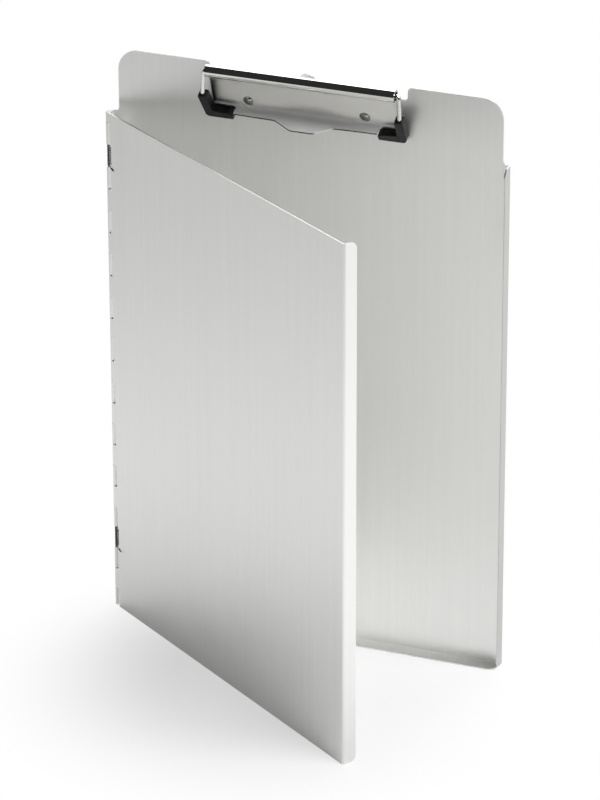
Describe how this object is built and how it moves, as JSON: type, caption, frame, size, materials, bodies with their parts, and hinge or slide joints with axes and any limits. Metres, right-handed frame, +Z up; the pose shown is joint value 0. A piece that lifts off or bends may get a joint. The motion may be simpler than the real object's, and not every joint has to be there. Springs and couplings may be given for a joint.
{
  "type": "clipboard case",
  "caption": "Flat sheet-metal clipboard case: a shallow tray with a spring clip and hanging eye at its head, and a rimmed cover on a rolled side hinge, standing ajar.",
  "frame": {"origin": "on the surface the case stands on, in the middle of its bounding box", "axes": "+X along the board from the hinge to the free side, +Y towards the board's back, +Z up"},
  "size_m": [0.235, 0.1432, 0.3417],
  "materials": {
    "satin_aluminium": "satin, finely brushed",
    "pin_steel": "drawn wire",
    "spring_steel": "dark oiled spring wire",
    "clip_steel": "bright nickel",
    "wire_steel": "bright nickel on wire",
    "rivet_aluminium": "plain",
    "black_rubber": "moulded, satin black"
  },
  "bodies": {
    "tray": {"tray_board": "satin_aluminium", "hinge_pin": "pin_steel", "clip_base": "clip_steel", "clip_rivet_left": "rivet_aluminium", "clip_rivet_right": "rivet_aluminium"},
    "cover": {"cover": "satin_aluminium", "hinge_spring_upper": "spring_steel", "hinge_spring_lower": "spring_steel"},
    "clip_jaw": {"clip_plate": "clip_steel", "clip_wire": "wire_steel", "corner_boot_left": "black_rubber", "corner_boot_right": "black_rubber"},
    "eye": {"hanging_eye": "clip_steel"}
  },
  "joints": [
    {"name": "cover_swing", "type": "hinge", "parent": "tray", "child": "cover", "pos_m": [-0.11585, 0.06206, 0.15], "axis": [0, 0, 1], "range_deg": [-175, 34.5], "deforming": ["hinge_spring_upper", "hinge_spring_lower"]},
    {"name": "clip_jaw_lift", "type": "hinge", "parent": "tray", "child": "clip_jaw", "pos_m": [0, 0.05861, 0.3382], "axis": [-1, 0, 0], "range_deg": [0, 40], "stiffness_Nm_per_rad": 0.3, "springref_deg": -57.3},
    {"name": "hanging_eye_slide", "type": "slide", "parent": "tray", "child": "eye", "axis": [0, 0, 1], "range_m": [0, 0.009]}
  ]
}
